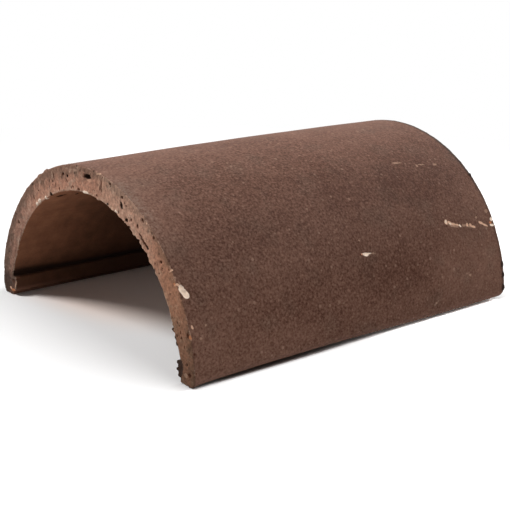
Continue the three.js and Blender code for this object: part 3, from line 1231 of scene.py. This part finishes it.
@dataclass(frozen=True)
class Edges:
    """How far the edges of the two cuts are rounded, by the wire and by wear."""

    near_outer: float = 0.55 * MM
    near_inner: float = 0.8 * MM
    far: float = 0.2 * MM
    near_foot: float = 0.5 * MM
    far_foot: float = 3.6 * MM
    wander: float = 0.5  # how much that varies along the edge, as a share
    worn_side: Pair = (-45.0, 15.0)  # Y in millimetres, over which the near outer edge gets rounder
    least: float = 0.35  # share of the rounding that it keeps on the other side

    def inputs(self) -> dict[str, float]:
        """Gives the sizes as inputs of a tree.

        Returns:
            The names of the inputs, with their values.
        """
        return {
            "Near Outer Edge": self.near_outer, "Near Inner Edge": self.near_inner, "Far Edge": self.far,
            "Near Foot Edge": self.near_foot, "Far Foot Edge": self.far_foot, "Edge Wander": self.wander,
        }

    def radii(self, tree: ShapeTree, on_outer: Sock, near: Sock) -> tuple[Sock, Sock]:
        """How far the outer and the inner edge are rounded beside each point.

        Args:
            tree: the tree that is being built, with these sizes among its inputs.
            on_outer: the point of the outer face beside it.
            near: 1 for the near end, 0 for the far one.

        Returns:
            The radius of the outer edge and that of the inner edge.
        """
        g = tree.graph
        wander = 1.0 + g.noise(on_outer, 11.0, seed=9) * 2.0 * tree["Edge Wander"]
        side = self.least + g.parts(on_outer)[1].fade(*self.worn_side) * (1.0 - self.least)
        far = (1.0 - near) * tree["Far Edge"]
        outer = near * tree["Near Outer Edge"] * side + far
        inner = near * tree["Near Inner Edge"] + far
        return outer * wander, inner * wander

    @staticmethod
    def rounded(from_end: Sock, from_face: Sock, radius: Sock) -> tuple[Sock, Sock, Sock]:
        """Rounds the edge between an end and a face. Every point lies on one of the two.

        Args:
            from_end: each point's distance from the end.
            from_face: its distance from the face.
            radius: the radius of the edge.

        Returns:
            Both distances afterwards, and how much the point belongs to the face rather than the end.
        """
        share = (((from_end - from_face) / radius + 1.0) * 0.5).share()
        inside = (from_end < radius) * (from_face < radius)
        outside = 1.0 - inside
        new_end = radius * (1.0 - (share * QUARTER).math("COSINE"))
        new_face = radius * (1.0 - (share * QUARTER).math("SINE"))
        return from_end * outside + new_end * inside, from_face * outside + new_face * inside, share


@dataclass(frozen=True)
class Relief:
    """What the wire, the die and handling left on the faces, all over."""

    tear_depth: float = 0.9 * MM
    drag_depth: float = 0.45 * MM
    burr_height: float = 1.1 * MM
    pits: float = 2600.0  # small pits to a square metre of cut face
    pit_reach: float = 1.3 * MM
    least_pit: float = 0.45  # the smallest pit's share of that reach
    pit_depth: float = 1.5  # in times its reach
    pit_drawn: Triple = (1.0, 1.0, 1.5)  # how far pits are drawn out along each axis
    pit_stray: float = 1.4 * MM  # how far a pit's rim strays
    pit_swirl: float = 1.8 * MM  # from one such stray to the next
    far_burrs: float = 0.25  # share of the burrs' height at the far end
    drag_drawn: Triple = (1.0, 1.0, 5.0)  # how far the wire's drag lines are drawn out along each axis
    bore_drawn: Triple = (60.0, 1.0, 1.0)  # and the bore's lines
    bore_line: float = 0.16 * MM
    unevenness: float = 0.5 * MM
    seed: int = 11

    def inputs(self) -> dict[str, float | int]:
        """Gives the sizes as inputs of a tree.

        Returns:
            The names of the inputs, with their values.
        """
        return {
            "Tear Depth": self.tear_depth, "Drag Depth": self.drag_depth, "Burr Height": self.burr_height,
            "Pits": self.pits, "Pit Reach": self.pit_reach, "Bore Lines": self.bore_line,
            "Unevenness": self.unevenness, "Seed": self.seed,
        }

    def _pitted(self, tree: ShapeTree, solid: Sock, place: Sock, cut: Sock) -> tuple[Sock, Sock]:
        """Scatters small pits over the cut faces.

        Args:
            tree: the tree that is being built.
            solid: the geometry so far.
            place: where each point is.
            cut: how much it belongs to a cut.

        Returns:
            How deep in the nearest pit each point lies, from 0 to 1, and the reach of that pit.
        """
        g = tree.graph
        pits = g.node("GeometryNodeDistributePointsOnFaces", None, {
            "Mesh": solid, "Selection": cut > 0.55, "Density": tree["Pits"], "Seed": tree["Seed"],
        }, "Points")
        random = {"Min": self.least_pit, "Max": 1.0, "Seed": tree["Seed"]}
        reaches = g.node("FunctionNodeRandomValue", None, random) * tree["Pit Reach"]
        pits = tree.store(pits, "reach", reaches)
        nearest = g.node("GeometryNodeSampleNearest", None, {"Geometry": pits, "Sample Position": place})
        middle = tree.sample(pits, nearest, place)
        reach = tree.sample(pits, nearest, tree.read("reach"), "FLOAT")
        swirl = g.node("ShaderNodeTexNoise", None, {"Vector": place, "Scale": 1.0 / self.pit_swirl}, "Color")
        strayed = g.scaled(g.vector("SUBTRACT", swirl, (0.5, 0.5, 0.5)), self.pit_stray)
        offset = g.vector("SUBTRACT", g.vector("ADD", place, strayed), middle)
        distance = g.vector("LENGTH", g.drawn_out(offset, self.pit_drawn))
        return (1.0 - distance / reach).share().step(0.0, 0.75) * cut.share(), reach

    def press(self, tree: ShapeTree, solid: Sock) -> Sock:
        """Tears and pits the cut faces, roughens their edges and draws lines along the bore.

        Args:
            tree: the tree that is being built, with these sizes among its inputs.
            solid: the geometry so far.

        Returns:
            The rough geometry, which also carries how deep in a small pit each point lies ("hollow").
        """
        g = tree.graph
        cut, wall, edge = tree.read("cut"), tree.read("wall"), tree.read("edge")
        place = g.node("GeometryNodeInputPosition")
        in_pit, reach = self._pitted(tree, solid, place, cut)
        solid = tree.store(solid, "hollow", in_pit)

        tear = g.noise(place, 4.5, seed=11, detail=3.0, roughness=0.6) * tree["Tear Depth"]
        drag = g.noise(g.drawn_out(place, self.drag_drawn), 1.9, seed=12, roughness=0.6) * tree["Drag Depth"]
        burrs = g.noise(place, 3.2, seed=13, roughness=0.6).step(0.02, 0.3) * tree["Burr Height"]
        lines = g.noise(g.drawn_out(place, self.bore_drawn), 4.0, seed=14) * tree["Bore Lines"]
        uneven = g.noise(place, 42.0, seed=15, roughness=0.4) * tree["Unevenness"]
        near = g.parts(place)[0] < 0.0
        rise = (  # a noise goes half up and half down, so that twice it reaches the named depth
            cut * (tear + drag) * 2.0
            + edge * burrs * (self.far_burrs + near * (1.0 - self.far_burrs))
            + (1.0 - cut) * (uneven + wall.step(0.6, 0.9) * lines * 2.0)
            - in_pit * reach * self.pit_depth
        )
        normal = g.node("GeometryNodeInputNormal", None, None, "Normal")
        return tree.place(solid, Offset=g.scaled(normal, rise))


@dataclass(frozen=True)
class Drying:
    """What drying and firing did to the whole tile: one foot lifts, and the ridge bows up."""

    twist_lift: float = 2.5 * MM  # of the far corner of the -Y foot
    twist_start: float = 40.0 * MM  # from the near end
    twist_curve: float = 1.5
    crown_bow: float = 1.6 * MM
    hollow_lift: float = 2.6 * MM  # how far the -Y foot's bottom edge has drawn up, outside
    hollow_full: float = 70.0 * MM  # from the near end to where it has drawn up that far
    hollow_curve: float = 0.4
    hollow_wane: Pair = (100.0 * MM, 270.0 * MM)  # where it comes down again
    hollow_height: float = 26.0 * MM  # height over the ground by which it has faded out
    foot_land: float = 3.5 * MM  # the flat strip that stays on the ground inside it

    def inputs(self) -> dict[str, float]:
        """Gives the sizes as inputs of a tree.

        Returns:
            The names of the inputs, with their values.
        """
        return {
            "Twist Lift": self.twist_lift, "Twist Start": self.twist_start, "Crown Bow": self.crown_bow,
            "Hollow Lift": self.hollow_lift,
        }

    def warp(self, tree: ShapeTree, solid: Sock, die: Die) -> Sock:
        """Puts the tile out of true.

        Args:
            tree: the tree that is being built, with these sizes among its inputs.
            solid: the geometry so far.
            die: the section.

        Returns:
            The geometry out of true.
        """
        g = tree.graph
        x, y, z = g.parts(g.node("GeometryNodeInputPosition"))
        half, start = tree["Half Length"], tree["Twist Start"]
        along = ((x + half - start) / (half * 2.0 - start)).share()
        across = ((die.rib_reach - y) / (2.0 * die.rib_reach)).share()
        twist = tree["Twist Lift"] * along**self.twist_curve * across
        arch = (1.0 - (x / half) ** 2.0).share()
        bow = tree["Crown Bow"] * arch * (z / die.height).share()

        from_near = x + half
        drawn_up = (from_near / self.hollow_full).share() ** self.hollow_curve
        waning = from_near.step(*self.hollow_wane[::-1])
        land_end = die.recess_reach + die.inner_arris + self.foot_land
        outside = (y * -1.0).step(land_end, die.ground_reach - die.outer_arris)
        hollow = tree["Hollow Lift"] * (drawn_up * waning) * outside * z.step(self.hollow_height, 0.0)
        return tree.place(solid, Offset=g.join(0.0, 0.0, twist + bow + hollow))


@dataclass
class RidgeTile:
    """The tile: one length of extruded clay, cut at both ends, dried, fired and handled."""

    die: Die = Die()
    edges: Edges = Edges()
    relief: Relief = Relief()
    drying: Drying = Drying()
    finish: FiredClay = FiredClay()
    marks: list[Mark] = field(default_factory=lambda: near_end_marks() + skin_marks() + hidden_marks())
    layers: int = 23  # points through the wall
    edge_band: float = 4.0 * MM  # how far from an edge of an end a point counts as close to it
    foot_bend: float = 4.0  # height over which the worn foot's rise fades out, in times its edge
    spans: tuple[Pair, ...] = (  # in millimetres: where each span ends, and the step between points in it
        (4.5, 0.9), (10.5, 1.5), (28.5, 3.6), (157.0, 9.0), (172.0, 1.9), (247.0, 7.5), (296.0, 2.9),
        (300.5, 1.5), (305.0, 0.9),
    )

    def build(self) -> bpy.types.Object:
        """Makes the tile and dresses it.

        Returns:
            The finished piece.
        """
        material = self.finish.material(self.marks, self.die)
        mesh = self._extrude(material)
        self._mark(mesh)
        mesh = self._weather(mesh, material)
        mesh.name = "fired_tile"
        mesh.shade_smooth()
        LOG.info("fired_tile: %d points, %d triangles", len(mesh.vertices), 2 * len(mesh.polygons))
        return put("fired_tile", mesh)

    def _stations(self) -> np.ndarray:
        """Divides the length: closely at the ends and where the skin is marked.

        Returns:
            The X of each station.
        """
        places, start = [0.0], 0.0
        for end, step in self.spans:
            count = max(1, round((end - start) / step))
            places += list(np.linspace(start, end, count + 1)[1:])
            start = end
        return np.array(places) * MM - self.die.half

    def _extrude(self, material: bpy.types.Material) -> bpy.types.Mesh:
        """Pushes the section out: a block of points is laid between the die's two lines.

        Args:
            material: what the tile is made of.

        Returns:
            A closed mesh that carries at each point how much it belongs to a cut ("cut"), how far
            through the wall it lies ("wall") and how close to an edge of an end ("edge").
        """
        stations = self._stations()
        section = np.concatenate([self.die.outer_line(), self.die.inner_line()])
        source = bpy.data.meshes.new("die_lines")
        source.from_pydata([(0.0, y, z) for y, z in section] + [(x, 0.0, 0.0) for x in stations], [], [])
        tree = ShapeTree("pushed_through_the_die", {
            "Stations": len(stations), "Line Points": self.die.points, "Layers": self.layers,
            "Half Length": self.die.half, **self.edges.inputs(),
        })
        g = tree.graph
        counts = [tree["Stations"], tree["Line Points"], tree["Layers"]]
        block = g.node("GeometryNodeMeshCube", None, {
            "Size": g.join(*(count - 1.0 for count in counts)),
            "Vertices X": counts[0], "Vertices Y": counts[1], "Vertices Z": counts[2],
        }, "Mesh")
        position = g.node("GeometryNodeInputPosition")
        column, row, layer = (
            (part + (count - 1.0) * 0.5).math("ROUND") for part, count in zip(g.parts(position), counts)
        )
        lines_in = tree["Geometry"]
        on_outer = tree.sample(lines_in, row, position)
        on_inner = tree.sample(lines_in, row + counts[1], position)
        x = g.parts(tree.sample(lines_in, column + counts[1] * 2.0, position))[0]

        across = g.vector("SUBTRACT", on_inner, on_outer)
        wall = g.vector("LENGTH", across)
        from_outer = layer / (counts[2] - 1.0) * wall
        from_inner = wall - from_outer
        from_end = tree["Half Length"] - x.unsigned()
        near = x < 0.0
        outer_radius, inner_radius = self.edges.radii(tree, on_outer, near)
        by_outer, outer_depth, on_skin = self.edges.rounded(from_end, from_outer, outer_radius)
        by_inner, inner_depth, on_bore = self.edges.rounded(from_end, from_inner, inner_radius)
        share = (outer_depth + from_inner - inner_depth) / wall
        _, y, z = g.parts(g.vector("ADD", on_outer, g.scaled(across, share)))

        foot_edge = near * tree["Near Foot Edge"] + (1.0 - near) * tree["Far Foot Edge"]
        worn = (1.0 - from_end / foot_edge).share()
        rise = foot_edge * (1.0 - (1.0 - worn * worn).math("SQRT"))
        z = z + rise * (1.0 - z / (foot_edge * self.foot_bend)).share()
        placed = g.join(x.math("SIGN") * (tree["Half Length"] - by_outer.most(by_inner)), y, z)

        under = (row < 0.5) + (row > counts[1] - 1.5)
        on_face = on_skin.most(on_bore).most(under * (from_end / foot_edge).share())
        to_edge = from_outer.least(from_inner).most(from_end)
        solid = tree.store(block, "cut", 1.0 - on_face)
        solid = tree.store(solid, "wall", from_outer / wall)
        solid = tree.store(solid, "edge", (1.0 - to_edge / self.edge_band).share())
        return tree.run(tree.place(solid, Position=placed), source, material)

    def _mark(self, mesh: bpy.types.Mesh) -> None:
        """Presses the marks into the mesh, which goes on carrying where each point was ("unmarked").

        Args:
            mesh: the mesh, which is changed.
        """
        places = np.zeros(len(mesh.vertices) * 3)
        mesh.vertices.foreach_get("co", places)
        mesh.attributes.new("unmarked", "FLOAT_VECTOR", "POINT").data.foreach_set("vector", places)
        places = places.reshape(-1, 3)
        moved = places.copy()
        for mark in self.marks:
            if mark.shaped:
                moved += mark.moved(places, self.die)
        mesh.vertices.foreach_set("co", moved.ravel())

    def _weather(self, mesh: bpy.types.Mesh, material: bpy.types.Material) -> bpy.types.Mesh:
        """Roughens the faces and lets the tile dry out of true.

        Args:
            mesh: the marked mesh.
            material: what the tile is made of.

        Returns:
            The weathered mesh.
        """
        sizes = {"Half Length": self.die.half, **self.relief.inputs(), **self.drying.inputs()}
        tree = ShapeTree("torn_and_dried", sizes)
        rough = self.relief.press(tree, tree["Geometry"])
        return tree.run(self.drying.warp(tree, rough, self.die), mesh, material)


# ---------------------------------------------------------------------------------------------
# The studio
# ---------------------------------------------------------------------------------------------


@dataclass(frozen=True)
class Lamp:
    """One round soft lamp, which faces the tile."""

    name: str
    place: Triple
    size: float
    power: float
    aim: Triple = (0.0, 0.0, 0.06)

    def hang(self) -> None:
        """Puts the lamp up."""
        data = bpy.data.lights.new(self.name, "AREA")
        data.shape = "DISK"
        data.size = self.size
        data.energy = self.power
        turn = (Vector(self.aim) - Vector(self.place)).to_track_quat("-Z", "Y")
        put(self.name, data).matrix_world = Matrix.Translation(self.place) @ turn.to_matrix().to_4x4()


@dataclass(frozen=True)
class Floor:
    """A wide pale floor that fades into white, with painted light and shade near the tile. The camera sees it
    paler than it throws light back.
    """

    size: float = 14.0
    thrown: float = 0.44  # how much of the light it throws back on the tile
    seen: float = 0.9  # and to the camera
    beside: Zone = Zone(0.4, y=(-120, -124))  # painted light: how much paler it is beside the -Y foot, washing out the tile's shadow there
    beyond: Zone = Zone(0.4, x=(150, 185))  # and past the far end
    gap_glow: Zone = Zone(3.2, x=(-80, 130, 146, 152), y=(-125, -123, -117, -112))  # painted light on the floor in the gap under that foot
    vault: Zone = Zone(x=(-160, -118, 0, 130), y=(-114, -106, 110, 125))
    vault_bounce_tint: Triple = (1.0, 0.85, 0.77)  # painted warm bounce light from the clay on the shaded floor there
    vault_inside: Pair = (-155, -70)  # X over which that sets in
    vault_slant: float = 0.8  # how much sooner it does so for each length towards the +Y side
    dusty_and_shaded: Zone = Zone(0.8, x=(-168, -110, -80, 60), y=(-125, -121, -112, -108))  # painted shade, dark and brown, on the floor under the -Y foot
    # the colour of that painted shade
    dust_and_shade: Colour = srgb(96, 62, 46)
    white: Pair = (0.3, 0.7)  # distances over which it turns plain white to the camera

    def lay(self) -> bpy.types.Object:
        """Lays the floor.

        Returns:
            The floor, which isn't part of the tile.
        """
        half = self.size / 2
        corners = [(-half, -half, 0.0), (half, -half, 0.0), (half, half, 0.0), (-half, half, 0.0)]
        mesh = bpy.data.meshes.new("floor")
        mesh.from_pydata(corners, [], [(0, 1, 2, 3)])
        mesh.materials.append(self._paper())
        return put("floor", mesh)

    def _paper(self) -> bpy.types.Material:
        """Makes the floor's material, with all its zones.

        Returns:
            The material.
        """
        material = bpy.data.materials.new("floor_paper")
        g = Graph.of(material)
        place = g.node("ShaderNodeTexCoord", None, None, "Object")
        x, y, _ = g.parts(place)
        to_eye = g.seen()
        # painted light that the camera sees beside the -Y foot, past the far end and in the gap under that
        # foot
        paler = self.beside.felt(x, y).most(self.beyond.felt(x, y)) + self.gap_glow.felt(x, y)
        level = self.thrown + (self.seen - self.thrown + paler) * to_eye
        # painted warm bounce light from the clay on the floor in the vault's shade
        vault = (x + y * self.vault_slant).fade(*self.vault_inside) * self.vault.felt(x, y)
        colour = g.scaled(g.mix(vault, WHITE, (*self.vault_bounce_tint, 1.0)), level)
        # painted shade under the -Y foot
        colour = g.mix(self.dusty_and_shaded.felt(x, y), colour, self.dust_and_shade)
        paper = g.node("ShaderNodeBsdfDiffuse", None, {"Color": colour})
        white = g.node("ShaderNodeEmission", None, {"Color": WHITE, "Strength": 1.0})
        far = g.vector("LENGTH", place).step(*self.white)
        both = g.node("ShaderNodeMixShader", None, {0: far * to_eye, 1: paper, 2: white})
        g.add("ShaderNodeOutputMaterial", None, {"Surface": both})
        return material


@dataclass(frozen=True)
class Studio:
    """Where the tile stands, under a soft, even light that is strongest overhead."""

    eye: Triple = (-0.590718, -0.698375, 0.309361)
    yaw: float = 0.868724  # of the view, from +X towards +Y
    pitch: float = 0.293843  # below the level
    roll: float = -0.026151
    focal: float = 86.445  # millimetres
    sensor: float = 36.0  # millimetres
    sight: Pair = (0.01, 60.0)  # the nearest and the farthest that it sees
    surround: float = 0.075
    floor: Floor = Floor()
    lamps: tuple[Lamp, ...] = (
        Lamp("front_left", (-0.77, 0.58, 1.16), 0.45, 16.1),
        Lamp("overhead", (0.40, -0.56, 1.44), 1.6, 22.4),
        Lamp("front_right", (-1.30, -1.20, 0.60), 1.2, 2.8),
        Lamp("back", (2.40, 0.30, 0.90), 1.4, 25.3),
    )

    def camera(self) -> None:
        """Sets up the camera."""
        data = bpy.data.cameras.new("view")
        data.lens = self.focal
        data.sensor_width = self.sensor
        data.clip_start, data.clip_end = self.sight
        turn = (
            Matrix.Rotation(self.yaw - QUARTER, 4, "Z")
            @ Matrix.Rotation(QUARTER - self.pitch, 4, "X")
            @ Matrix.Rotation(-self.roll, 4, "Z")
        )
        camera = put("view", data)
        camera.matrix_world = Matrix.Translation(self.eye) @ turn
        bpy.context.scene.camera = camera

    def light(self) -> None:
        """Hangs the lamps and sets the surround, which is dim but looks white."""
        world = bpy.data.worlds.new("surround")
        bpy.context.scene.world = world
        g = Graph.of(world)
        strength = self.surround + (1.0 - self.surround) * g.seen()
        background = g.node("ShaderNodeBackground", None, {"Color": WHITE, "Strength": strength})
        g.add("ShaderNodeOutputWorld", None, {"Surface": background})
        for lamp in self.lamps:
            lamp.hang()


def main() -> None:
    """Sets up the studio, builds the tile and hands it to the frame."""
    logging.basicConfig(level=logging.INFO, format="%(name)s: %(message)s")
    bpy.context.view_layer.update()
    bpy.context.scene.view_settings.view_transform = "Standard"
    studio = Studio()
    studio.camera()
    studio.light()
    studio.floor.lay()

    tile = RidgeTile().build()
    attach(tile, "root")
    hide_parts(NODE)


if __name__ == "__main__":
    main()
